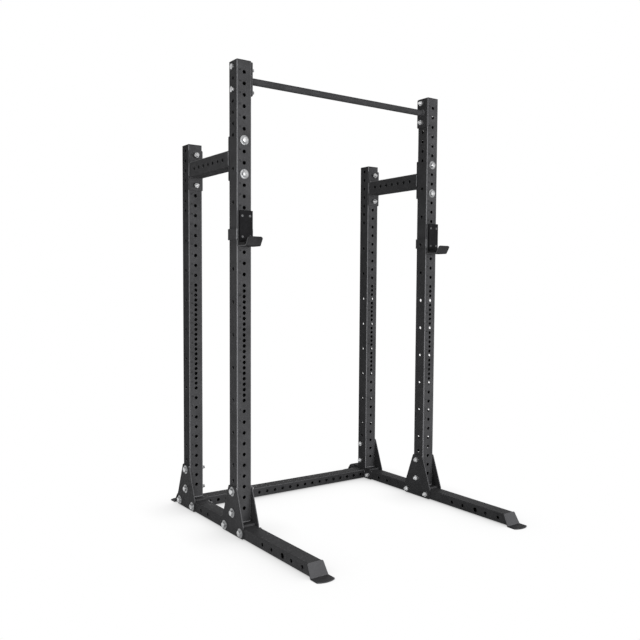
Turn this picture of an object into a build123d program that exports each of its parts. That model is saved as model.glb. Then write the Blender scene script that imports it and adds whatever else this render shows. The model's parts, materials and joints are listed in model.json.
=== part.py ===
from build123d import *
from math import cos, radians, sin, tan
import os

# Half power rack, free standing: two tall front uprights and two shorter rear uprights on two floor
# tubes, tied by side braces, a rear floor cross member and a pull-up bar, with a pair of lift-off
# bar cups. Millimetres, +Z up, +X to the right, the lifter's side is -Y. The origin is on the
# floor, midway between the two sides, under the front uprights.

# Square upright tube and its rows of holes
tube = 76.2
tube_wall = 3.0
tube_corner = 6.0
bolt_d = 15.875
hole_clearance = 1.625
hole_pitch = 50.8
zone_pitch = 25.4
open_row_count = 20
zone_row_count = 21
low_row_count = 10
row_margin = 50.0
side_drop = 25.4
side_upper_count = 7
side_lower_drop = 482.6
side_pitch = 152.4
side_lower_count = 10

# Overall frame
front_height = 2189.2
rear_drop = 304.8
upright_spacing = 1168.4
bay_depth = 508.0
front_reach = 647.7
rear_reach = 139.7

# Floor tubes, and the bent tabs that close their slanted ends and carry them just off the floor
base_height = 50.8
base_wall = 3.0
base_corner = 6.0
end_angle = 30.0
tab_t = 4.8
tab_bend = 4.0
tab_width = 88.0
tab_length = 50.8
tab_bulge = 12.7
tab_corner = 4.0
end_plate_width = 75.0
end_plate_corner = 8.0
front_base_holes = (63.5, 146.0, 304.8, 381.0)
rear_base_holes = (304.8, 381.0)
peg_hole = 215.9
peg_hole_d = 25.4

# Flange, foot and gusset plates
plate = 6.35
bolt_edge = 25.4
flange_corner = 5.0
foot_plate_t = 9.5
foot_plate_length = 160.0
gusset_t = 4.8
gusset_top_width = 73.6
gusset_shoulder = 5.2
gusset_corner = 9.0
gusset_bolt_span = 152.4
gusset_low_bolt = 50.8
gusset_bolt_pitch = 101.6
spare_hole_rise = 50.8

# Pull-up bar and end caps
bar_d = 31.75
bar_wall = 3.2
cap_t = 4.0
cap_plug_depth = 11.0
cap_plug_wall = 2.0
cap_gap = 0.2

# Hex bolts, washers under their heads, and nuts
head_af = 23.8
head_h = 9.9
nut_h = 14.0
thread_gap = 0.3
washer_d = 44.45
washer_t = 2.8
bolt_proud = 12.0

# Bar cups: pin row, bent plate, plastic linings, wrap-round bracket and screws
cup_row = 13
cup_gap = 0.3
cup_t = 5.0
cup_width = 76.2
cup_rise = 36.8
shelf_drop = 31.4
cup_bend = 8.0
cup_reach = 68.4
lip_rise = 38.5
lip_flare = 24.0
lip_corner = 10.0
liner_width = 66.0
liner_t = 8.0
liner_corner = 5.0
liner_edge = 1.0
liner_gap = 0.4
pad_t = 14.0
pad_round = 4.0
bracket_height = 50.8
bracket_offset = 6.0
bracket_depth = 74.0
bracket_corner = 6.0
pin_reach = 34.0
pin_chamfer = 2.0
screw_d = 6.0
screw_head_d = 11.6
screw_inset = 13.2
screw_edge = 24.7
screw_gap = 0.15

# Levels and faces that follow from those sizes
hole_d = bolt_d + hole_clearance
half_span = upright_spacing / 2
half_tube = tube / 2
inner_face = half_span - half_tube
rear_height = front_height - rear_drop
base_low = tab_t
base_middle = base_low + base_height / 2
base_top = base_low + base_height
foot_top = base_top + foot_plate_t
base_front = -front_reach
base_rear = bay_depth + rear_reach
low_bolt = base_top + gusset_low_bolt
high_bolt = low_bolt + gusset_bolt_pitch
spare_hole = high_bolt + spare_hole_rise
slope = radians(end_angle)
lean = tan(slope)
sides = {"left": -1, "right": 1}
posts = {"front": (0.0, front_height), "rear": (bay_depth, rear_height)}

os.makedirs("parts", exist_ok=True)


def save(part, name):
    part.label = name
    export_step(part, f"parts/{name}.step")


def across_x(x, y=0.0, z=0.0, outward=1):
    # A plane square to X whose normal is outward; its own y axis points up.
    return Plane(origin=(x, y, z), x_dir=(0, outward, 0), z_dir=(outward, 0, 0))


def across_y(y, x=0.0, z=0.0, outward=1):
    # A plane square to Y whose normal is outward; its own y axis points up.
    return Plane(origin=(x, y, z), x_dir=(-outward, 0, 0), z_dir=(0, outward, 0))


# Rows of holes in an upright, from the top down
def face_rows(top):
    # Front-to-back holes: open pitch, close pitch over the bench heights, then open pitch again.
    rows = [front_height - hole_pitch * (i + 1) for i in range(open_row_count)]
    rows += [rows[-1] - zone_pitch * (i + 1) for i in range(zone_row_count)]
    rows += [rows[-1] - hole_pitch * (i + 1) for i in range(low_row_count)]
    return [height for height in rows if foot_top + hole_pitch < height < top - row_margin]


def side_upper_rows(top):
    return [top - side_drop - hole_pitch * i for i in range(side_upper_count)]


def side_lower_rows():
    return [front_height - side_lower_drop - side_pitch * i for i in range(side_lower_count)]


def side_rows(top):
    # Side-to-side holes: a close group at the top, a wide pitch below it, then the gusset's holes.
    upper = side_upper_rows(top)
    lowest = spare_hole + hole_pitch
    highest = upper[-1] - hole_pitch
    lower = [height for height in side_lower_rows() if lowest < height < highest]
    return upper + lower + [spare_hole, high_bolt, low_bolt]


def row_count(length):
    # An odd number of holes at the open pitch, kept clear of both ends of a tube.
    return 2 * int((length / 2 - bolt_edge) / hole_pitch) + 1


brace_bolts = [face_rows(rear_height)[0], face_rows(rear_height)[3]]
brace_level = sum(brace_bolts) / 2
bar_bolts = [side_upper_rows(front_height)[0], side_upper_rows(front_height)[2]]
bar_level = sum(bar_bolts) / 2


# Uprights with their foot plates and end caps
def upright(x, y, top):
    bore = tube - 2 * tube_wall
    with BuildPart() as post:
        with BuildSketch(Plane(origin=(x, y, foot_top))):
            RectangleRounded(tube, tube, tube_corner)
            RectangleRounded(bore, bore, tube_corner - tube_wall, mode=Mode.SUBTRACT)
        extrude(amount=top - foot_top)
        with BuildSketch(across_y(y, x)):
            with Locations(*[(0, height) for height in face_rows(top)]):
                Circle(hole_d / 2)
        extrude(amount=tube, both=True, mode=Mode.SUBTRACT)
        with BuildSketch(across_x(x, y)):
            with Locations(*[(0, height) for height in side_rows(top)]):
                Circle(hole_d / 2)
        extrude(amount=tube, both=True, mode=Mode.SUBTRACT)
    return post.part


def foot_plate(x, y):
    with BuildPart() as foot:
        with BuildSketch(Plane(origin=(x, y, base_top))):
            Rectangle(tube, foot_plate_length)
        extrude(amount=foot_plate_t)
    return foot.part


def end_cap(x, y, top):
    plug = tube - 2 * tube_wall - 2 * cap_gap
    plug_corner = tube_corner - tube_wall
    bore = plug - 2 * cap_plug_wall
    with BuildPart() as cap:
        with BuildSketch(Plane(origin=(x, y, top))):
            RectangleRounded(tube, tube, tube_corner)
        extrude(amount=cap_t)
        fillet(cap.faces().sort_by(Axis.Z)[-1].edges(), cap_t / 2)
        with BuildSketch(Plane(origin=(x, y, top))):
            RectangleRounded(plug, plug, plug_corner)
            Rectangle(bore, bore, mode=Mode.SUBTRACT)
        extrude(amount=-cap_plug_depth)
    return cap.part


# Floor tubes, cut on a slant at both ends
def base_tube(x):
    top_front = base_front + lean * base_height
    top_rear = base_rear - lean * base_height
    gusset_holes = [y + s * gusset_bolt_span / 2 for y, top in posts.values() for s in (-1, 1)]
    front_holes = [base_front + offset for offset in front_base_holes]
    rear_holes = [base_rear - offset for offset in rear_base_holes]
    with BuildPart() as base:
        with BuildSketch(across_y(base_front, x, base_middle)):
            RectangleRounded(tube, base_height, base_corner)
            bore = (tube - 2 * base_wall, base_height - 2 * base_wall)
            RectangleRounded(*bore, base_corner - base_wall, mode=Mode.SUBTRACT)
        extrude(amount=base_rear - base_front)
        with BuildSketch(across_x(x)):
            low_edge = [(base_front, base_low), (base_rear, base_low)]
            Polygon(*low_edge, (top_rear, base_top), (top_front, base_top), align=None)
        extrude(amount=tube, both=True, mode=Mode.INTERSECT)
        with BuildSketch(across_x(x, 0, base_middle)):
            with Locations(*[(y, 0) for y in gusset_holes + front_holes + rear_holes]):
                Circle(hole_d / 2)
            with Locations((base_front + peg_hole, 0)):
                Circle(peg_hole_d / 2)
        extrude(amount=tube, both=True, mode=Mode.SUBTRACT)
    return base.part


def floor_tab(x, end, outward):
    # A plate over the slanted tube end, bent out along the floor into a tab with a bowed front edge.
    def at(distance):
        return end + outward * distance

    middle = tab_t / 2
    crest = (at(middle * cos(slope) - lean * base_height), base_top + middle * sin(slope))
    fold = middle * (lean + 1 / cos(slope))
    apex = tab_length + tab_bulge
    with BuildPart() as tab:
        with BuildSketch(across_x(x)):
            with BuildLine():
                FilletPolyline(crest, (at(fold), middle), (at(apex), middle), radius=tab_bend + middle)
            trace(line_width=tab_t)
        extrude(amount=tab_width / 2, both=True)
        with BuildSketch(Plane(origin=(x, 0, 0))):
            with BuildLine():
                half = tab_width / 2
                head = end_plate_width / 2
                back = at(-lean * base_height - tab_t)
                left = [(-half, at(tab_length)), (-half, at(fold)), (-head, back)]
                Polyline(*left, *[(-across, along) for across, along in reversed(left)])
                ThreePointArc((half, at(tab_length)), (0, at(apex)), (-half, at(tab_length)))
            make_face()
        extrude(amount=base_top + tab_t, mode=Mode.INTERSECT)
        crown = tab.edges().filter_by(Axis.X, reverse=True).group_by(Axis.Z)[-1]
        fillet(crown, end_plate_corner)
        upright_edges = tab.edges().filter_by(Axis.Z).group_by(Axis.Y)
        fillet(upright_edges[0 if outward < 0 else -1], tab_corner)
    return tab.part


# Side braces, pull-up bar and rear cross member, each welded between two bolted flanges
def brace_tube(x):
    front = half_tube + plate
    length = bay_depth - tube - 2 * plate
    bore = tube - 2 * tube_wall
    with BuildPart() as brace:
        with BuildSketch(across_y(front, x, brace_level)):
            RectangleRounded(tube, tube, tube_corner)
            RectangleRounded(bore, bore, tube_corner - tube_wall, mode=Mode.SUBTRACT)
        extrude(amount=length)
        with BuildSketch(across_x(x, front + length / 2, brace_level)):
            with GridLocations(hole_pitch, 0, row_count(length), 1):
                Circle(hole_d / 2)
        extrude(amount=tube, both=True, mode=Mode.SUBTRACT)
    return brace.part


def bolted_flange(seat, width, height, bolts):
    # A plate lying on the seat plane, with its bolt holes at the given points of that plane.
    with BuildPart() as flange:
        with BuildSketch(seat):
            RectangleRounded(width, height, flange_corner)
            with Locations(*bolts):
                Circle(hole_d / 2, mode=Mode.SUBTRACT)
        extrude(amount=plate)
    return flange.part


def pull_up_bar():
    half_length = inner_face - plate
    with BuildPart() as bar:
        with BuildSketch(across_x(0, 0, bar_level)):
            Circle(bar_d / 2)
            Circle(bar_d / 2 - bar_wall, mode=Mode.SUBTRACT)
        extrude(amount=half_length, both=True)
    return bar.part


def cross_member():
    half_length = inner_face - plate
    with BuildPart() as cross:
        with BuildSketch(across_x(0, bay_depth, base_middle)):
            RectangleRounded(tube, base_height, base_corner)
            bore = (tube - 2 * base_wall, base_height - 2 * base_wall)
            RectangleRounded(*bore, base_corner - base_wall, mode=Mode.SUBTRACT)
        extrude(amount=half_length, both=True)
        with BuildSketch(across_y(bay_depth, 0, base_middle)):
            with GridLocations(hole_pitch, 0, row_count(2 * half_length), 1):
                Circle(hole_d / 2)
        extrude(amount=tube, both=True, mode=Mode.SUBTRACT)
    return cross.part


# Gussets bolted to the upright and to the floor tube
def gusset(seat):
    bolts = [(0, low_bolt), (0, high_bolt)]
    bolts += [(s * gusset_bolt_span / 2, base_middle) for s in (-1, 1)]
    with BuildPart() as web:
        with BuildSketch(seat) as outline:
            half = gusset_bolt_span / 2 + bolt_edge
            top_half = gusset_top_width / 2
            right = [(half, base_low), (half, base_top + gusset_shoulder), (top_half, high_bolt + bolt_edge)]
            left = [(-y, z) for y, z in reversed(right)]
            Polygon(*right, *left, align=None)
            crown = outline.vertices().group_by(Axis.Y)[-1]
            heel = outline.vertices().group_by(Axis.Y)[0]
            fillet(crown + heel, gusset_corner)
            with Locations(*bolts):
                Circle(hole_d / 2, mode=Mode.SUBTRACT)
        extrude(amount=gusset_t)
    return web.part


# Hex bolts, each given as a seat plane that faces out on the head's side and the grip behind it
def hex_bolts(joints, under_head):
    with BuildPart() as bolts:
        for seat, grip in joints:
            with BuildSketch(seat.offset(under_head)):
                RegularPolygon(head_af / 2, 6, major_radius=False)
            extrude(amount=head_h)
            with BuildSketch(seat.offset(under_head)):
                Circle(bolt_d / 2)
            extrude(amount=-(under_head + grip + nut_h + bolt_proud))
    return bolts.part


def washers(joints):
    with BuildPart() as rings:
        for seat, grip in joints:
            with BuildSketch(seat):
                Circle(washer_d / 2)
                Circle(hole_d / 2, mode=Mode.SUBTRACT)
            extrude(amount=washer_t)
    return rings.part


def nuts(joints):
    with BuildPart() as hexes:
        for seat, grip in joints:
            with BuildSketch(seat.offset(-grip)):
                RegularPolygon(head_af / 2, 6, major_radius=False)
                Circle(bolt_d / 2 + thread_gap, mode=Mode.SUBTRACT)
            extrude(amount=-nut_h)
    return hexes.part


# Bar cups, each hung on one front hole of a front upright
pin_level = face_rows(front_height)[cup_row]
lock_level = max(height for height in side_lower_rows() if height < pin_level)
bracket_level = lock_level + bracket_offset
bracket_front = -half_tube - cup_gap - plate
cup_front = bracket_front - cup_t
shelf_level = bracket_level - bracket_height / 2 - shelf_drop
shelf_top = shelf_level + cup_t
pad_top = shelf_top + pad_t
liner_top = pin_level + cup_rise
liner_low = pad_top + liner_gap
liner_height = liner_top - liner_low
screw_across = liner_width / 2 - screw_inset
screw_up = liner_height / 2 - screw_edge
screw_points = [(s * screw_across, h * screw_up) for s in (-1, 1) for h in (-1, 1)]


def screw_seat(x):
    # The liner's front face, with its own origin in the middle of the four screws.
    return across_y(cup_front - liner_t, x, liner_low + liner_height / 2, outward=-1)


def cup_plate(x):
    # One strap of steel bent into a back, a shelf and a lip that flares towards the lifter.
    centre = -(cup_front + cup_t / 2)
    low = shelf_level + cup_t / 2
    bend = -cup_front + cup_reach
    path = [(centre, liner_top), (centre, low), (bend, low), (bend + lip_flare, low + lip_rise)]
    with BuildPart() as cup:
        side_view = Plane(origin=(x, 0, 0), x_dir=(0, -1, 0), z_dir=(-1, 0, 0))
        with BuildSketch(side_view):
            with BuildLine():
                FilletPolyline(*path, radius=cup_bend)
            trace(line_width=cup_t)
        extrude(amount=cup_width / 2, both=True)
        lip_corners = cup.edges().filter_by(Axis.X, reverse=True).filter_by(GeomType.LINE)
        fillet(lip_corners.group_by(Axis.Y)[0], lip_corner)
        with BuildSketch(screw_seat(x)):
            with Locations(*screw_points):
                Circle(screw_d / 2 + screw_gap)
        extrude(amount=-(liner_t + 2 * cup_t), mode=Mode.SUBTRACT)
    return cup.part


def back_liner(x):
    with BuildPart() as liner:
        with BuildSketch(across_y(cup_front, x, liner_low + liner_height / 2, outward=-1)):
            RectangleRounded(liner_width, liner_height, liner_corner)
        extrude(amount=liner_t)
        chamfer(liner.faces().sort_by(Axis.Y)[0].edges(), liner_edge)
        with Locations(screw_seat(x)):
            with Locations(*screw_points):
                CounterSinkHole(screw_d / 2 + screw_gap, screw_head_d / 2 + screw_gap, liner_t, 90)
    return liner.part


def shelf_pad(x):
    # The pad lies on the shelf, under the back liner, as far as the foot of the flared lip.
    rear = -cup_front + liner_gap
    front = -cup_front + cup_reach - cup_bend
    with BuildPart() as pad:
        with BuildSketch(Plane(origin=(x, 0, shelf_top), x_dir=(0, -1, 0), z_dir=(0, 0, 1))):
            with Locations(((rear + front) / 2, 0)):
                Rectangle(front - rear, cup_width)
        extrude(amount=pad_t)
        rear_edges = pad.edges().filter_by(Axis.X).group_by(Axis.Y)[-1]
        fillet(rear_edges.sort_by(Axis.Z)[0], cup_bend)
        fillet(pad.faces().sort_by(Axis.Z)[-1].edges().sort_by(Axis.Y)[:-1], pad_round)
    return pad.part


def wrap_bracket(x, inner):
    # A channel round the front and sides of the upright, with a lock hole in its inner cheek.
    opening = tube + 2 * cup_gap
    width = opening + 2 * plate
    depth = cup_gap + plate + bracket_depth
    with BuildPart() as bracket:
        with BuildSketch(Plane(origin=(x, bracket_front, bracket_level - bracket_height / 2))):
            with Locations((0, depth / 2)):
                Rectangle(width, depth)
        extrude(amount=bracket_height)
        fillet(bracket.edges().filter_by(Axis.Z).group_by(Axis.Y)[0], bracket_corner)
        with BuildSketch(Plane(origin=(x, bracket_front + plate, bracket_level - bracket_height / 2))):
            with Locations((0, depth / 2)):
                Rectangle(opening, depth)
        extrude(amount=bracket_height, mode=Mode.SUBTRACT)
        with BuildSketch(across_x(x, 0, lock_level, outward=inner)):
            Circle(hole_d / 2)
        extrude(amount=width, mode=Mode.SUBTRACT)
    return bracket.part


def cup_pin(x):
    with BuildPart() as pin:
        with BuildSketch(across_y(bracket_front, x, pin_level)):
            Circle(bolt_d / 2)
        extrude(amount=-bracket_front - half_tube + pin_reach)
        chamfer(pin.edges().group_by(Axis.Y)[-1], pin_chamfer)
    return pin.part


def liner_screws(x):
    with BuildPart() as screws:
        with Locations(screw_seat(x)):
            with Locations(*screw_points):
                taper = (screw_head_d - screw_d) / 2
                Cone(screw_d / 2, screw_head_d / 2, taper, align=(Align.CENTER, Align.CENTER, Align.MAX))
                length = liner_t + cup_t
                Cylinder(screw_d / 2, length, align=(Align.CENTER, Align.CENTER, Align.MAX))
    return screws.part


# Every piece, side by side
for side, sign in sides.items():
    x = sign * half_span
    for end, (y, top) in posts.items():
        save(upright(x, y, top), f"{side}_{end}_upright")
        save(foot_plate(x, y), f"{side}_{end}_foot_plate")
        save(end_cap(x, y, top), f"{side}_{end}_end_cap")
        outer_seat = across_x(x + sign * half_tube, y, outward=sign)
        save(gusset(outer_seat), f"{side}_{end}_outer_gusset")
    save(gusset(across_x(x - sign * half_tube, outward=-sign)), f"{side}_front_inner_gusset")
    save(base_tube(x), f"{side}_base_tube")
    save(floor_tab(x, base_front, -1), f"{side}_front_floor_tab")
    save(floor_tab(x, base_rear, 1), f"{side}_rear_floor_tab")

    brace_points = [(0, height - brace_level) for height in brace_bolts]
    front_seat = across_y(half_tube, x, brace_level)
    rear_seat = across_y(bay_depth - half_tube, x, brace_level, outward=-1)
    save(brace_tube(x), f"{side}_brace_tube")
    flange_height = brace_bolts[0] - brace_bolts[1] + 2 * bolt_edge
    save(bolted_flange(front_seat, tube, flange_height, brace_points), f"{side}_brace_front_flange")
    save(bolted_flange(rear_seat, tube, flange_height, brace_points), f"{side}_brace_rear_flange")

    bar_points = [(0, height - bar_level) for height in bar_bolts]
    bar_seat = across_x(sign * inner_face, 0, bar_level, outward=-sign)
    bar_flange_height = bar_bolts[0] - bar_bolts[1] + 2 * bolt_edge
    save(bolted_flange(bar_seat, tube, bar_flange_height, bar_points), f"{side}_bar_flange")

    cross_points = [(s * gusset_bolt_span / 2, 0) for s in (-1, 1)]
    cross_seat = across_x(sign * inner_face, bay_depth, base_middle, outward=-sign)
    cross_flange_length = gusset_bolt_span + 2 * bolt_edge
    cross_flange = bolted_flange(cross_seat, cross_flange_length, base_height, cross_points)
    save(cross_flange, f"{side}_cross_flange")

    save(cup_plate(x), f"{side}_cup_plate")
    save(back_liner(x), f"{side}_cup_back_liner")
    save(shelf_pad(x), f"{side}_cup_shelf_pad")
    save(wrap_bracket(x, -sign), f"{side}_cup_bracket")
    save(cup_pin(x), f"{side}_cup_pin")
    save(liner_screws(x), f"{side}_cup_screws")

save(pull_up_bar(), "pull_up_bar")
save(cross_member(), "rear_cross_member")


# Bolted joints: heads on the outer faces, nuts on the inner ones
flange_grip = tube + plate
bar_joints = []
brace_joints = []
front_gusset_joints = []
rear_gusset_joints = []
for sign in sides.values():
    x = sign * half_span
    outer = sign * (half_span + half_tube)
    for height in bar_bolts:
        bar_joints.append((across_x(outer, 0, height, outward=sign), flange_grip))
    for height in brace_bolts:
        brace_joints.append((across_y(-half_tube, x, height, outward=-1), flange_grip))
        brace_joints.append((across_y(bay_depth + half_tube, x, height, outward=1), flange_grip))
    gusset_face = outer + sign * gusset_t
    for height in (low_bolt, high_bolt):
        front_seat = across_x(gusset_face, 0, height, outward=sign)
        rear_seat = across_x(gusset_face, bay_depth, height, outward=sign)
        front_gusset_joints.append((front_seat, tube + 2 * gusset_t))
        rear_gusset_joints.append((rear_seat, tube + gusset_t))
    for offset in (-gusset_bolt_span / 2, gusset_bolt_span / 2):
        front_low = across_x(gusset_face, offset, base_middle, outward=sign)
        rear_low = across_x(gusset_face, bay_depth + offset, base_middle, outward=sign)
        front_gusset_joints.append((front_low, tube + 2 * gusset_t))
        rear_gusset_joints.append((rear_low, tube + gusset_t + plate))

save(hex_bolts(bar_joints, 0), "pull_up_bar_bolts")
save(nuts(bar_joints), "pull_up_bar_nuts")
joints_by_name = {
    "brace": brace_joints,
    "front_gusset": front_gusset_joints,
    "rear_gusset": rear_gusset_joints,
}
for name, joints in joints_by_name.items():
    save(hex_bolts(joints, washer_t), f"{name}_bolts")
    save(washers(joints), f"{name}_washers")
    save(nuts(joints), f"{name}_nuts")
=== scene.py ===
import json
import math

import bmesh
import bpy
from mathutils import Matrix, Vector


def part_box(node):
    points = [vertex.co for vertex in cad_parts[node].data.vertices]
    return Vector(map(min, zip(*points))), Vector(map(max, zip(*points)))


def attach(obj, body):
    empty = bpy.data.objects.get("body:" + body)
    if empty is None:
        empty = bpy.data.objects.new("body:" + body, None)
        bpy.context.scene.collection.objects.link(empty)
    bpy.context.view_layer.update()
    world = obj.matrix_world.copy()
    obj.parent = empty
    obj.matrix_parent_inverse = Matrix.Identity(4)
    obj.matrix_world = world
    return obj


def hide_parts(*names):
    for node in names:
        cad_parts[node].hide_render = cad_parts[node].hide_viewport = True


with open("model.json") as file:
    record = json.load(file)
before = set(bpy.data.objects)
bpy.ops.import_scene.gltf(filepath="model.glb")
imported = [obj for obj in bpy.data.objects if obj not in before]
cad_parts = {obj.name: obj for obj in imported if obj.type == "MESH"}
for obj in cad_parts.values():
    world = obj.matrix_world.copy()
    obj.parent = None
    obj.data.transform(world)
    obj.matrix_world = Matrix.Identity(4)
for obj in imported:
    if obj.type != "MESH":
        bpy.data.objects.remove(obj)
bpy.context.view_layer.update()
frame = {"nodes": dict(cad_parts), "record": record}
nodes = frame["nodes"]
scene = bpy.context.scene

MM = 0.001
AXIS_X, AXIS_Y, AXIS_Z = Vector((1, 0, 0)), Vector((0, 1, 0)), Vector((0, 0, 1))
SIDES = ("left", "right")
ENDS = ("front", "rear")
WASHER_GROUPS = ("brace", "front_gusset", "rear_gusset")
BOLT_GROUPS = ("pull_up_bar", *WASHER_GROUPS)
SMOOTH_ANGLE = math.radians(32)

# Camera of the photograph, fitted to the rack's hole pattern
CAMERA_PLACE = Vector((-2.2842, -3.0645, 1.1741))
CAMERA_YAW = math.radians(35.239)
CAMERA_PITCH = math.radians(3.445)
CAMERA_ROLL = math.radians(0.352)
FOCAL_PIXELS = 748.466
IMAGE_PIXELS = 640
SENSOR_WIDTH = 36.0
CENTRE_PIXEL = (321.711, 330.868)

# Studio
RACK_MIDDLE = (0.0, 0.0, 1.0)
FAR_PANEL = (6.0, 3.0)
FLOOR_TONE = 0.9
FLOOR_ROUGHNESS = 0.9

# Looks: a noise is its scale, detail and roughness, a bump its depth and strength,
# and any other pair the ends of a range
NOISE_RANGE = (0.3, 0.7)
COAT_BLUE = 1.04
COAT_GLOSS = 0.03
COAT_CLOUDS = (9.0, 8.0, 0.72)
COAT_CLOUD_RANGE = (0.32, 0.68)
COAT_SPECKLE = (160.0, 3.0)
COAT_ROUGHNESS = (0.48, 0.60)
COAT_PEEL = (420.0, 2.0)
COAT_PEEL_BUMP = (0.0004, 0.6)
COAT_GRAIN = (1500.0, 1.0)
COAT_GRAIN_BUMP = (0.00015, 0.5)
ZINC_DARK = 0.6
ZINC_CLOUDS = (70.0, 3.0)
ZINC_CLOUD_RANGE = (0.38, 0.6)
ZINC_SPECKLE = (300.0, 3.0)
ZINC_ROUGHNESS = (0.32, 0.46)
ZINC_GRAIN = (900.0, 2.0)
ZINC_GRAIN_BUMP = (0.0001, 0.25)
PLASTIC_GLOSS = 0.06
PLASTIC_PALE = 1.5
PLASTIC_CLOUDS = (60.0, 4.0)
PLASTIC_CLOUD_RANGE = (0.35, 0.7)
PLASTIC_SPECKLE = (220.0, 3.0)
PLASTIC_GRAIN_DETAIL = 2.0
PLASTIC_GRAIN_BUMP = (0.0002, 0.3)

# Shares of a face's normal between which a coat changes: where its painted edge highlight
# and its shine fade in
FLAT_TO_ROUNDED = (0.98, 0.75)
FACE_TO_HIGHLIGHTED_SIDE = (0.8, 0.95)
EDGE_HIGHLIGHT_FADES_IN = (-0.3, 0.0)
SHINE_FADES_IN = (-0.8, -0.3)

# Fasteners: sizes that the frame's boxes don't give
HEAD_HEIGHT = 9.9 * MM
HEAD_HALF_FLATS = 23.8 / 2 * MM
HEX_SIDES = 6
HEX_STEPS = (-28, -17, -6, 6, 17, 28)
HEX_CHAMFER = math.radians(30)
HEX_CROWN = 0.94
BEARING_RISE = 0.5 * MM
BOLT_RADIUS = 15.875 / 2 * MM
NUT_BORE = BOLT_RADIUS + 0.3 * MM
THREAD_PITCH = 2.31 * MM
THREAD_DEPTH = 1.1 * MM
THREAD_LENGTH = 16.0 * MM
THREAD_RINGS = 6
SPIN_MIX = Vector((12.9, 78.2, 37.7))
SAME_POINT = 0.02 * MM
TIP_CHAMFER = 1.6 * MM
WASHER_BORE = 17.5 / 2 * MM
WASHER_RADIUS = 44.45 / 2 * MM
WASHER_EDGE = 0.7 * MM
WASHER_EDGE_STEPS = (-90, -60, -30, 0, 30, 60, 90)
SCREW_RADIUS = 3.0 * MM
SCREW_HEAD_RADIUS = 5.8 * MM
SCREW_RIM = 0.3 * MM
SOCKET_HALF_FLATS = 2.0 * MM
SOCKET_DEPTH = 2.8 * MM

# Weld beads
TUBE_CORNER = 6.0 * MM
WELD_LEG = 4.0 * MM
CUP_WELD_LEG = 3.0 * MM
FLUSH_WELD_LEG = 2.2 * MM
WELD_RIPPLE_PITCH = 3.6 * MM
WELD_RIPPLE = 0.16
WELD_LAG = 1.2 * MM
WELD_STEPS = 5
WELD_SAMPLES = 4

# Hole numbers cut beside the front holes of the uprights
HOLE_PITCH = 50.8 * MM
HALF_PITCH = 25.4 * MM
NUMBER_COUNT = 40
LOW_NUMBERS = 10
NUMBER_PLACE = Vector((-23.0 * MM, 0.0, 8.0 * MM))
NUMBER_SIZE = 13.0 * MM
NUMBER_THICKNESS = 0.1 * MM
NUMBER_MARGIN = 50.0 * MM
NUMBER_RESOLUTION = 3


# Small node-graph helpers
def new_material(name):
    material = bpy.data.materials.new(name)
    material.use_nodes = True
    tree = material.node_tree
    return material, tree, tree.nodes["Principled BSDF"]


def add_node(tree, kind, **values):
    node = tree.nodes.new(kind)
    for key, value in values.items():
        setattr(node, key, value)
    return node


def combine(tree, operation, first, second):
    node = add_node(tree, "ShaderNodeMath", operation=operation)
    tree.links.new(first, node.inputs[0])
    tree.links.new(second, node.inputs[1])
    return node.outputs[0]


def axis_parts(tree, vector):
    node = add_node(tree, "ShaderNodeSeparateXYZ")
    tree.links.new(vector, node.inputs["Vector"])
    return node.outputs


def noise(tree, scale, detail, roughness=0.5):
    coords = add_node(tree, "ShaderNodeTexCoord")
    texture = add_node(tree, "ShaderNodeTexNoise")
    texture.inputs["Scale"].default_value = scale
    texture.inputs["Detail"].default_value = detail
    texture.inputs["Roughness"].default_value = roughness
    tree.links.new(coords.outputs["Object"], texture.inputs["Vector"])
    return texture.outputs["Fac"]


def remap(tree, value, low, high, to_low, to_high):
    node = add_node(tree, "ShaderNodeMapRange")
    node.inputs["From Min"].default_value = low
    node.inputs["From Max"].default_value = high
    node.inputs["To Min"].default_value = to_low
    node.inputs["To Max"].default_value = to_high
    tree.links.new(value, node.inputs["Value"])
    return node.outputs["Result"]


def ramp(tree, value, places, colours):
    node = add_node(tree, "ShaderNodeValToRGB")
    for element, place, colour in zip(node.color_ramp.elements, places, colours):
        element.position = place
        element.color = (*colour, 1.0)
    tree.links.new(value, node.inputs["Fac"])
    return node.outputs["Color"]


def bump(tree, height, distance, strength, under=None):
    node = add_node(tree, "ShaderNodeBump")
    node.inputs["Strength"].default_value = strength
    node.inputs["Distance"].default_value = distance
    tree.links.new(height, node.inputs["Height"])
    if under is not None:
        tree.links.new(under, node.inputs["Normal"])
    return node.outputs["Normal"]


def set_surface(tree, shader, colour, speckle, roughness, normal):
    rough = remap(tree, noise(tree, *speckle), *NOISE_RANGE, *roughness)
    tree.links.new(colour, shader.inputs["Base Color"])
    tree.links.new(rough, shader.inputs["Roughness"])
    tree.links.new(normal, shader.inputs["Normal"])


# Materials
def coat_colour(tone):
    return (tone, tone, COAT_BLUE * tone)


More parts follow.
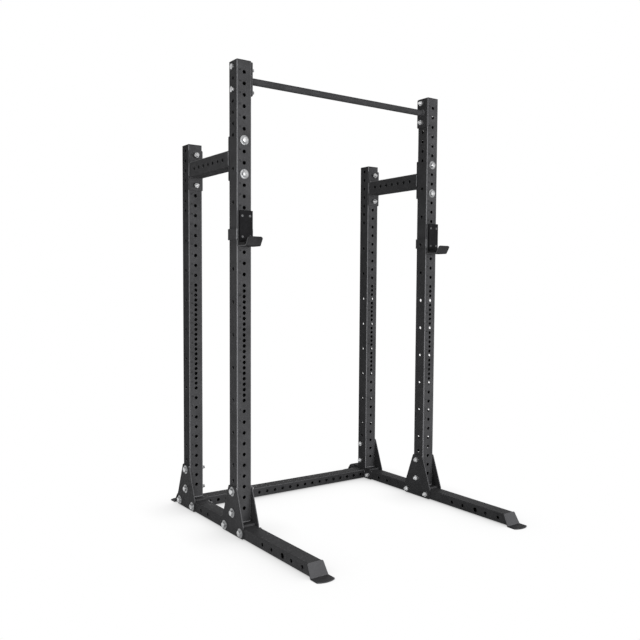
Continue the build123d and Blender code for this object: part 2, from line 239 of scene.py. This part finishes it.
def powder_coat(name, dark, pale, edge, gloss=COAT_GLOSS, highlight_x_sides=False):
    # Satin black, with a painted edge highlight in the paler edge tone: over rounded corners,
    # or on a strap's sides that face along X. Faces that look down get neither the painted
    # highlight nor the shine; losing the shine darkens them as painted shade.
    material, tree, shader = new_material(name)
    clouds = noise(tree, *COAT_CLOUDS)
    tone = ramp(tree, clouds, COAT_CLOUD_RANGE, (coat_colour(dark), coat_colour(pale)))
    normal = add_node(tree, "ShaderNodeNewGeometry").outputs["True Normal"]
    upward = axis_parts(tree, normal)["Z"]
    size = add_node(tree, "ShaderNodeVectorMath", operation="ABSOLUTE")
    tree.links.new(normal, size.inputs[0])
    parts = axis_parts(tree, size.outputs["Vector"])
    if highlight_x_sides:
        highlight_share = remap(tree, parts["X"], *FACE_TO_HIGHLIGHTED_SIDE, 0.0, 1.0)
    else:
        level = combine(tree, "MAXIMUM", parts["X"], parts["Y"])
        most = combine(tree, "MAXIMUM", level, parts["Z"])
        highlight_share = remap(tree, most, *FLAT_TO_ROUNDED, 0.0, 1.0)
    lit = remap(tree, upward, *EDGE_HIGHLIGHT_FADES_IN, 0.0, 1.0)
    # The painted edge highlight, mixed over the coat's tone
    edge_highlight = add_node(tree, "ShaderNodeMix", data_type="RGBA")
    edge_highlight.inputs["B"].default_value = (*coat_colour(edge), 1.0)
    tree.links.new(combine(tree, "MULTIPLY", highlight_share, lit), edge_highlight.inputs["Factor"])
    tree.links.new(tone, edge_highlight.inputs["A"])
    shine = remap(tree, upward, *SHINE_FADES_IN, 0.0, gloss)
    tree.links.new(shine, shader.inputs["Specular IOR Level"])
    peel = bump(tree, noise(tree, *COAT_PEEL), *COAT_PEEL_BUMP)
    grain = bump(tree, noise(tree, *COAT_GRAIN), *COAT_GRAIN_BUMP, under=peel)
    set_surface(tree, shader, edge_highlight.outputs["Result"], COAT_SPECKLE, COAT_ROUGHNESS, grain)
    return material


def zinc_plate(name, tone):
    material, tree, shader = new_material(name)
    shader.inputs["Metallic"].default_value = 1.0
    dark = tuple(ZINC_DARK * channel for channel in tone)
    colour = ramp(tree, noise(tree, *ZINC_CLOUDS), ZINC_CLOUD_RANGE, (dark, tone))
    grain = bump(tree, noise(tree, *ZINC_GRAIN), *ZINC_GRAIN_BUMP)
    set_surface(tree, shader, colour, ZINC_SPECKLE, ZINC_ROUGHNESS, grain)
    return material


def black_plastic(name, tone, roughness, grain_scale):
    material, tree, shader = new_material(name)
    shader.inputs["Specular IOR Level"].default_value = PLASTIC_GLOSS
    pale = tuple(PLASTIC_PALE * channel for channel in tone)
    colour = ramp(tree, noise(tree, *PLASTIC_CLOUDS), PLASTIC_CLOUD_RANGE, (tone, pale))
    grain = bump(tree, noise(tree, grain_scale, PLASTIC_GRAIN_DETAIL), *PLASTIC_GRAIN_BUMP)
    set_surface(tree, shader, colour, PLASTIC_SPECKLE, roughness, grain)
    return material


# Tones that come near the photo under the lamps below
# Lit and shaded copies of one powder coat: darker ones for the cross member, pull-up bar and cups,
# a paler shineless one for the rear uprights, and each with its own painted edge highlight in its
# edge tone
coat = powder_coat("powder_coat", dark=0.034, pale=0.052, edge=0.22)
rear_coat = powder_coat("rear_coat", dark=0.037, pale=0.056, edge=0.22, gloss=0.0)
tab_coat = powder_coat("tab_coat", dark=0.034, pale=0.052, edge=0.10)
base_coat = powder_coat("base_coat", dark=0.034, pale=0.052, edge=0.05)
# The flush side seams get a pale copy of the coat: a painted highlight along them
seam_highlight_coat = powder_coat("seam_highlight_coat", dark=0.15, pale=0.22, edge=0.22)
shaded_cross_coat = powder_coat("shaded_cross_coat", dark=0.026, pale=0.040, edge=0.10)
shaded_bar_coat = powder_coat("shaded_bar_coat", dark=0.029, pale=0.044, edge=0.040, gloss=0.01)
shaded_cup_coat = powder_coat("shaded_cup_coat", dark=0.019, pale=0.030, edge=0.10, highlight_x_sides=True)
zinc = zinc_plate("zinc_plate", tone=(0.64, 0.645, 0.65))
# Washers get a darker copy of the zinc: painted shade on the same plating as the bolts
shaded_washer_zinc = zinc_plate("shaded_washer_zinc", tone=(0.36, 0.365, 0.37))
pin_zinc = zinc_plate("pin_zinc", tone=(0.58, 0.585, 0.59))
cap_plastic = black_plastic(
    "cap_plastic", tone=(0.016, 0.016, 0.017), roughness=(0.42, 0.55), grain_scale=1100.0
)
lining_plastic = black_plastic(
    "lining_plastic", tone=(0.006, 0.006, 0.0065), roughness=(0.45, 0.55), grain_scale=700.0
)
screw_steel = zinc_plate("screw_steel", tone=(0.18, 0.18, 0.185))
# The cut numbers are a flat near-black mark: painted shade of the cut
number_cut_shade = black_plastic(
    "number_cut_shade", tone=(0.003, 0.003, 0.003), roughness=(0.8, 0.9), grain_scale=900.0
)
slot_materials = {
    "frame_coat": coat,
    "zinc_hardware": zinc,
    "cap_plastic": cap_plastic,
    "cup_lining": lining_plastic,
    "cup_pin_zinc": pin_zinc,
    "screw_steel": screw_steel,
}
node_coats = {"pull_up_bar": shaded_bar_coat, "rear_cross_member": shaded_cross_coat}
for side in SIDES:
    node_coats[f"{side}_base_tube"] = base_coat
    node_coats[f"{side}_rear_upright"] = rear_coat
    node_coats[f"{side}_cup_plate"] = shaded_cup_coat
    for end in ENDS:
        node_coats[f"{side}_{end}_floor_tab"] = tab_coat
for subpart in frame["record"]["subparts"]:
    mesh = nodes[subpart["node"]].data
    slot_material = slot_materials[subpart["material_slot"]]
    mesh.materials.clear()
    mesh.materials.append(node_coats.get(subpart["node"], slot_material))
    for polygon in mesh.polygons:
        polygon.use_smooth = True
    mesh.set_sharp_from_angle(angle=SMOOTH_ANGLE)


# Meshes built ring by ring
def add_rings(shape, rings, wrap=False):
    # Joins rings of equal length into a skin: wrapped round to the first ring, or capped
    # at both ends.
    points, faces = shape
    first = len(points)
    count = len(rings[0])
    for ring in rings:
        points.extend(ring)
    for step in range(len(rings) if wrap else len(rings) - 1):
        low = first + step * count
        high = first + (step + 1) % len(rings) * count
        for i in range(count):
            j = (i + 1) % count
            faces.append((low + i, low + j, high + j, high + i))
    if not wrap:
        faces.append(tuple(range(first + count - 1, first - 1, -1)))
        faces.append(tuple(range(len(points) - count, len(points))))


def add_placed_rings(shape, rings, place, wrap=False):
    add_rings(shape, [[place @ point for point in ring] for ring in rings], wrap)


def new_piece(name, shape, material, body):
    mesh = bpy.data.meshes.new(name)
    mesh.from_pydata(shape[0], [], shape[1])
    skin = bmesh.new()
    skin.from_mesh(mesh)
    bmesh.ops.recalc_face_normals(skin, faces=skin.faces)
    skin.to_mesh(mesh)
    skin.free()
    mesh.shade_smooth()
    mesh.set_sharp_from_angle(angle=SMOOTH_ANGLE)
    mesh.materials.append(material)
    piece = bpy.data.objects.new(name, mesh)
    scene.collection.objects.link(piece)
    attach(piece, body)
    return piece


def solids(node_name):
    # The corner points of each separate solid of a CAD node.
    skin = bmesh.new()
    skin.from_mesh(nodes[node_name].data)
    bmesh.ops.remove_doubles(skin, verts=skin.verts, dist=SAME_POINT)
    skin.verts.index_update()
    seen = set()
    groups = []
    for start in skin.verts:
        if start.index in seen:
            continue
        seen.add(start.index)
        group = []
        waiting = [start]
        while waiting:
            vertex = waiting.pop()
            group.append(vertex.co.copy())
            for edge in vertex.link_edges:
                other = edge.other_vert(vertex)
                if other.index not in seen:
                    seen.add(other.index)
                    waiting.append(other)
        groups.append(group)
    skin.free()
    return groups


def axis_place(points, along_longest):
    # The middle of a solid, its axis turned towards its wider end, its length, and a spin
    # of its own.
    low = Vector([min(point[i] for point in points) for i in range(3)])
    high = Vector([max(point[i] for point in points) for i in range(3)])
    size = list(high - low)
    index = size.index(max(size) if along_longest else min(size))
    middle = (low + high) / 2

    def reach(level):
        ring = [point - middle for point in points if abs(point[index] - level) < SAME_POINT]
        return max(math.sqrt(sum(gap[i] ** 2 for i in range(3) if i != index)) for gap in ring)

    axis = Vector((0.0, 0.0, 0.0))
    axis[index] = 1.0 if reach(high[index]) >= reach(low[index]) else -1.0
    spin = math.sin(middle.dot(SPIN_MIX)) * math.pi
    return middle, axis, size[index], spin


def place_matrix(origin, axis, spin):
    turn = axis.to_track_quat("Z", "Y").to_matrix().to_4x4()
    return Matrix.Translation(origin) @ turn @ Matrix.Rotation(spin, 4, "Z")


# Rings about the local Z axis; a hexagon's flats keep a narrow facet at each corner
FLAT_TURNS = [math.radians(step) for step in HEX_STEPS] * HEX_SIDES
RING_TURNS = [
    math.radians(360 // HEX_SIDES * flat + step) for flat in range(HEX_SIDES) for step in HEX_STEPS
]


def ring_point(turn, radius, height):
    return Vector((radius * math.cos(turn), radius * math.sin(turn), height))


def round_ring(radius, height):
    return [ring_point(turn, radius, height) for turn in RING_TURNS]


def hex_ring(half_flats, height, crown=None):
    # With a crown radius, the ring drops on a cone outside it, which scallops the flats' ends.
    ring = []
    for turn, flat_turn in zip(RING_TURNS, FLAT_TURNS):
        radius = half_flats / math.cos(flat_turn)
        drop = 0.0 if crown is None else max(0.0, radius - crown) * math.tan(HEX_CHAMFER)
        ring.append(ring_point(turn, radius, height - drop))
    return ring


def thread_ring(height, above_tip):
    ring = []
    for turn in RING_TURNS:
        phase = (height / THREAD_PITCH - turn / math.tau) % 1.0
        radius = BOLT_RADIUS - THREAD_DEPTH * abs(2.0 * phase - 1.0)
        radius = min(radius, BOLT_RADIUS - TIP_CHAMFER + above_tip)
        ring.append(ring_point(turn, radius, height))
    return ring


def hex_bolt(shape, middle, axis, length, spin):
    # Local zero is under the head; the threaded tip points the other way.
    place = place_matrix(middle + axis * (length / 2 - HEAD_HEIGHT), axis, spin)
    tip = HEAD_HEIGHT - length
    crown = HEX_CROWN * HEAD_HALF_FLATS
    step = THREAD_PITCH / THREAD_RINGS
    rings = [thread_ring(tip + i * step, i * step) for i in range(int(THREAD_LENGTH / step))]
    rings.append(round_ring(BOLT_RADIUS, tip + THREAD_LENGTH))
    rings.append(round_ring(BOLT_RADIUS, 0.0))
    rings.append(round_ring(crown, 0.0))
    rings.append(hex_ring(HEAD_HALF_FLATS, BEARING_RISE))
    rings.append(hex_ring(HEAD_HALF_FLATS, HEAD_HEIGHT, crown))
    rings.append(round_ring(crown, HEAD_HEIGHT))
    add_placed_rings(shape, rings, place)


def hex_nut(shape, middle, axis, length, spin):
    place = place_matrix(middle, axis, spin)
    crown = HEX_CROWN * HEAD_HALF_FLATS
    half = length / 2
    sink = TIP_CHAMFER / 2
    upper = hex_ring(HEAD_HALF_FLATS, half, crown)
    lower = [Vector((point.x, point.y, -point.z)) for point in upper]
    rings = [lower, upper, round_ring(crown, half), round_ring(NUT_BORE + sink, half)]
    rings += [round_ring(NUT_BORE, half - sink), round_ring(NUT_BORE, sink - half)]
    rings += [round_ring(NUT_BORE + sink, -half), round_ring(crown, -half)]
    add_placed_rings(shape, rings, place, wrap=True)


def flat_washer(shape, middle, axis, length, spin):
    place = place_matrix(middle, axis, spin)
    half = length / 2
    rings = []
    for step in WASHER_EDGE_STEPS:
        turn = math.radians(step)
        rise = math.copysign(half - WASHER_EDGE, step) if step else 0.0
        radius = WASHER_RADIUS - WASHER_EDGE + WASHER_EDGE * math.cos(turn)
        rings.append(round_ring(radius, rise + WASHER_EDGE * math.sin(turn)))
    rings += [round_ring(WASHER_BORE, half), round_ring(WASHER_BORE, -half)]
    add_placed_rings(shape, rings, place, wrap=True)


def socket_screw(shape, middle, axis, length, spin):
    # A countersunk screw; local zero is the top of its head, with a hexagon socket sunk in it.
    place = place_matrix(middle + axis * (length / 2), axis, spin)
    taper = SCREW_HEAD_RADIUS - SCREW_RADIUS
    rings = [round_ring(SCREW_RADIUS, -length), round_ring(SCREW_RADIUS, -taper - SCREW_RIM)]
    rings.append(round_ring(SCREW_HEAD_RADIUS, -SCREW_RIM))
    rings.append(round_ring(SCREW_HEAD_RADIUS - SCREW_RIM, 0.0))
    rings += [hex_ring(SOCKET_HALF_FLATS, 0.0), hex_ring(SOCKET_HALF_FLATS, -SOCKET_DEPTH)]
    add_placed_rings(shape, rings, place)


def detailed(node_name, add_one, along_longest, material, body):
    shape = ([], [])
    for points in solids(node_name):
        add_one(shape, *axis_place(points, along_longest))
    piece = new_piece(f"{node_name}_detail", shape, material, body)
    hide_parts(node_name)


def fasteners():
    for group in BOLT_GROUPS:
        detailed(f"{group}_bolts", hex_bolt, True, zinc, "rack")
        detailed(f"{group}_nuts", hex_nut, False, zinc, "rack")
    for group in WASHER_GROUPS:
        detailed(f"{group}_washers", flat_washer, False, shaded_washer_zinc, "rack")
    for side in SIDES:
        screws, body = f"{side}_cup_screws", f"{side}_bar_cup"
        detailed(screws, socket_screw, True, screw_steel, body)


# Weld beads in the corners between tubes and plates
def weld_bead(shape, stations, rise, leg, closed, flush=False):
    # stations: points of the corner line, each with its direction out along the plate.
    # A flush bead is a low ridge over the seam between two faces that lie in one plane.
    rings = []
    travelled = 0.0
    total = sum((b[0] - a[0]).length for a, b in zip(stations, stations[1:]))
    lead = leg / 3
    root = leg / 4
    for number, (point, out) in enumerate(stations):
        if number:
            travelled += (point - stations[number - 1][0]).length
        fade = 1.0
        if not closed:
            fade = min(1.0, (travelled + lead) / leg, (total - travelled + lead) / leg)
        ring = [point - (out if flush else out + rise) * root]
        for step in range(WELD_STEPS + 1):
            share = step / WELD_STEPS
            turn = math.pi * (share - 0.5) if flush else math.pi / 2 * share
            phase = (travelled + WELD_LAG * math.sin(math.pi * share)) / WELD_RIPPLE_PITCH
            wave = abs(math.sin(math.pi * phase)) - 0.5
            radius = leg * fade * (1.0 + WELD_RIPPLE * wave)
            ring.append(point + (out * math.cos(turn) + rise * math.sin(turn)) * radius)
        rings.append(ring)
    add_rings(shape, rings, wrap=closed)


def straight_weld(shape, middle, along, length, out, rise, leg=WELD_LEG, flush=False):
    count = int(length / WELD_RIPPLE_PITCH * WELD_SAMPLES)
    stations = [(middle + along * (length * (i / count - 0.5)), out) for i in range(count + 1)]
    weld_bead(shape, stations, rise, leg, False, flush)


def round_weld(shape, centre, first, second, radius, rise, leg=WELD_LEG):
    ripples = round(math.tau * radius / WELD_RIPPLE_PITCH)
    count = ripples * WELD_SAMPLES
    stations = []
    for i in range(count):
        turn = math.tau * i / count
        out = first * math.cos(turn) + second * math.sin(turn)
        stations.append((centre + out * radius, out))
    weld_bead(shape, stations, rise, leg, True)


def node_span(node_name):
    low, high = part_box(node_name)
    return low, high, (low + high) / 2


def foot_welds(side, end):
    low, high, middle = node_span(f"{side}_{end}_upright")
    run = high.x - low.x - 2 * TUBE_CORNER
    shape = ([], [])
    for y, out in ((low.y, -AXIS_Y), (high.y, AXIS_Y)):
        straight_weld(shape, Vector((middle.x, y, low.z)), AXIS_X, run, out, AXIS_Z)
    new_piece(f"{side}_{end}_foot_welds", shape, coat, "rack")


def brace_welds(side):
    low, high, middle = node_span(f"{side}_brace_tube")
    across = high.x - low.x - 2 * TUBE_CORNER
    upward = high.z - low.z - 2 * TUBE_CORNER
    shape = ([], [])
    seams = ([], [])
    for y, rise in ((low.y, AXIS_Y), (high.y, -AXIS_Y)):
        for z, out in ((low.z, -AXIS_Z), (high.z, AXIS_Z)):
            straight_weld(shape, Vector((middle.x, y, z)), AXIS_X, across, out, rise)
        for x, out in ((low.x, -AXIS_X), (high.x, AXIS_X)):
            spot = Vector((x, y, middle.z))
            straight_weld(seams, spot, AXIS_Z, upward, out, rise, FLUSH_WELD_LEG, True)
    new_piece(f"{side}_brace_welds", shape, coat, "rack")
    # The side seams carry a painted highlight in their pale coat
    new_piece(f"{side}_brace_side_welds", seams, seam_highlight_coat, "rack")


def cross_member_welds():
    low, high, middle = node_span("rear_cross_member")
    run = high.z - low.z - 2 * TUBE_CORNER
    shape = ([], [])
    for x, rise in ((low.x, AXIS_X), (high.x, -AXIS_X)):
        for y, out in ((low.y, -AXIS_Y), (high.y, AXIS_Y)):
            straight_weld(shape, Vector((x, y, middle.z)), AXIS_Z, run, out, rise)
    new_piece("cross_member_welds", shape, coat, "rack")


def pull_up_bar_welds():
    low, high, middle = node_span("pull_up_bar")
    shape = ([], [])
    for x, rise in ((low.x, AXIS_X), (high.x, -AXIS_X)):
        centre = Vector((x, middle.y, middle.z))
        round_weld(shape, centre, AXIS_Y, AXIS_Z, (high.z - low.z) / 2, rise)
    new_piece("pull_up_bar_welds", shape, coat, "rack")


def cup_welds(side):
    low, high, middle = node_span(f"{side}_cup_bracket")
    plate_low, plate_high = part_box(f"{side}_cup_plate")
    pin_low, pin_high, pin = node_span(f"{side}_cup_pin")
    run = high.z - low.z - 2 * CUP_WELD_LEG
    shape = ([], [])
    for x, out in ((plate_low.x, -AXIS_X), (plate_high.x, AXIS_X)):
        spot = Vector((x, low.y, middle.z))
        straight_weld(shape, spot, AXIS_Z, run, out, -AXIS_Y, CUP_WELD_LEG)
    root = Vector((pin.x, pin_low.y, pin.z))
    pin_radius = (pin_high.x - pin_low.x) / 2
    round_weld(shape, root, AXIS_X, AXIS_Z, pin_radius, AXIS_Y, CUP_WELD_LEG)
    new_piece(f"{side}_cup_welds", shape, coat, f"{side}_bar_cup")


def welds():
    for side in SIDES:
        for end in ENDS:
            foot_welds(side, end)
        brace_welds(side)
    cross_member_welds()
    pull_up_bar_welds()
    for side in SIDES:
        cup_welds(side)


# Plain hole numbers, counted from the lowest hole up, as thin near-black marks that paint
# the shade inside the cut numbers
def number_mesh(number):
    text = bpy.data.curves.new(f"number_{number}", "FONT")
    text.body = str(number)
    text.size = NUMBER_SIZE
    text.align_x = "CENTER"
    text.align_y = "CENTER"
    text.extrude = NUMBER_THICKNESS / 2
    text.resolution_u = NUMBER_RESOLUTION
    holder = bpy.data.objects.new(f"number_{number}", text)
    scene.collection.objects.link(holder)
    bpy.context.view_layer.update()
    depsgraph = bpy.context.evaluated_depsgraph_get()
    mesh = bpy.data.meshes.new_from_object(holder.evaluated_get(depsgraph))
    points = [vertex.co.copy() for vertex in mesh.vertices]
    faces = [tuple(polygon.vertices) for polygon in mesh.polygons]
    bpy.data.objects.remove(holder)
    bpy.data.curves.remove(text)
    bpy.data.meshes.remove(mesh)
    return points, faces


def hole_numbers():
    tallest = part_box("left_front_upright")[1].z
    meshes = {number: number_mesh(number) for number in range(1, NUMBER_COUNT + 1)}
    for side in SIDES:
        for end in ENDS:
            low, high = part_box(f"{side}_{end}_upright")
            shape = ([], [])
            for number, (points, faces) in meshes.items():
                level = tallest - HOLE_PITCH * (NUMBER_COUNT + 1 - number)
                if number <= LOW_NUMBERS:
                    level -= HALF_PITCH
                if level > high.z - NUMBER_MARGIN:
                    continue
                spot = Vector(((low.x + high.x) / 2, low.y, level)) + NUMBER_PLACE
                first = len(shape[0])
                shape[0].extend(spot + Vector((point.x, -point.z, point.y)) for point in points)
                shape[1].extend(tuple(first + i for i in face) for face in faces)
            new_piece(f"{side}_{end}_hole_numbers", shape, number_cut_shade, "rack")


fasteners()
welds()
hole_numbers()


# Camera
def photo_camera():
    yaw, pitch, roll = CAMERA_YAW, CAMERA_PITCH, CAMERA_ROLL
    flat = math.cos(pitch)
    ahead = Vector((math.sin(yaw) * flat, math.cos(yaw) * flat, -math.sin(pitch)))
    level = Vector((math.cos(yaw), -math.sin(yaw), 0.0))
    rise = level.cross(ahead)
    right = level * math.cos(roll) + rise * math.sin(roll)
    up = rise * math.cos(roll) - level * math.sin(roll)
    data = bpy.data.cameras.new("photo_camera")
    data.sensor_width = SENSOR_WIDTH
    data.lens = FOCAL_PIXELS / IMAGE_PIXELS * SENSOR_WIDTH
    data.shift_x = (IMAGE_PIXELS / 2 - CENTRE_PIXEL[0]) / IMAGE_PIXELS
    data.shift_y = (CENTRE_PIXEL[1] - IMAGE_PIXELS / 2) / IMAGE_PIXELS
    camera = bpy.data.objects.new("photo_camera", data)
    scene.collection.objects.link(camera)
    turn = Matrix((right, up, -ahead)).transposed()
    camera.matrix_world = Matrix.Translation(CAMERA_PLACE) @ turn.to_4x4()
    scene.camera = camera


# Light, background and floor
def area_light(name, place, target, size, power, mirrored=True):
    data = bpy.data.lights.new(name, "AREA")
    data.shape = "RECTANGLE"
    data.size, data.size_y = size
    data.energy = power
    light = bpy.data.objects.new(name, data)
    light.visible_camera = False
    light.visible_glossy = mirrored
    scene.collection.objects.link(light)
    aim = (Vector(target) - Vector(place)).to_track_quat("-Z", "Y")
    light.matrix_world = Matrix.Translation(place) @ aim.to_matrix().to_4x4()


def show_when_seen(tree, lit, seen, output):
    # Rays straight to the camera, by a mirror or through glass meet what is seen, all others
    # what is lit.
    path = add_node(tree, "ShaderNodeLightPath")
    share = path.outputs["Is Camera Ray"]
    for name in ("Is Glossy Ray", "Is Transmission Ray"):
        share = combine(tree, "MAXIMUM", share, path.outputs[name])
    mix = add_node(tree, "ShaderNodeMixShader")
    tree.links.new(share, mix.inputs["Fac"])
    tree.links.new(lit, mix.inputs[1])
    tree.links.new(seen, mix.inputs[2])
    tree.links.new(mix.outputs["Shader"], tree.nodes[output].inputs["Surface"])


def white_world(strength):
    world = bpy.data.worlds.new("studio")
    scene.world = world
    world.use_nodes = True
    tree = world.node_tree
    lit = tree.nodes["Background"]
    lit.inputs["Color"].default_value = (1.0, 1.0, 1.0, 1.0)
    lit.inputs["Strength"].default_value = strength
    white = add_node(tree, "ShaderNodeBackground")
    white.inputs["Color"].default_value = (1.0, 1.0, 1.0, 1.0)
    show_when_seen(tree, lit.outputs["Background"], white.outputs["Background"], "World Output")


def studio_floor(extent, shadow_reach, shadow_depth):
    # White to the eye, with a painted contact shadow that is darker where the rack stands close
    # over it, and plain pale for bounced light.
    mesh = bpy.data.meshes.new("studio_floor")
    corners = [(-extent, -extent), (extent, -extent), (extent, extent), (-extent, extent)]
    mesh.from_pydata([(x, y, 0.0) for x, y in corners], [], [(0, 1, 2, 3)])
    floor = bpy.data.objects.new("studio_floor", mesh)
    scene.collection.objects.link(floor)
    material, tree, shader = new_material("studio_floor")
    shader.inputs["Base Color"].default_value = (FLOOR_TONE, FLOOR_TONE, FLOOR_TONE, 1.0)
    shader.inputs["Roughness"].default_value = FLOOR_ROUGHNESS
    shade = add_node(tree, "ShaderNodeAmbientOcclusion")
    shade.inputs["Distance"].default_value = shadow_reach
    glow = add_node(tree, "ShaderNodeEmission")
    white = remap(tree, shade.outputs["AO"], 0.0, 1.0, 1.0 - shadow_depth, 1.0)
    tree.links.new(white, glow.inputs["Strength"])
    show_when_seen(tree, shader.outputs["BSDF"], glow.outputs["Emission"], "Material Output")
    mesh.materials.append(material)


photo_camera()
white_world(strength=0.25)
studio_floor(extent=12.0, shadow_reach=0.25, shadow_depth=0.5)
area_light(
    "front_key", (5.0, -9.0, 1.6), RACK_MIDDLE, FAR_PANEL, power=900.0, mirrored=False
)
area_light("front_fill", (-0.5, -10.0, 1.6), RACK_MIDDLE, FAR_PANEL, power=420.0)
area_light(
    "rear_fill", (2.5, 9.0, 1.6), RACK_MIDDLE, FAR_PANEL, power=1000.0, mirrored=False
)
area_light("left_strip", (-1.9, -0.9, 0.8), (-0.6, -0.1, 0.6), size=(0.3, 2.0), power=13.0)
area_light("top_soft", (0.0, -0.3, 5.0), (0.0, 0.0, 0.0), size=(4.0, 4.0), power=10.0)

scene.view_settings.view_transform = "Standard"
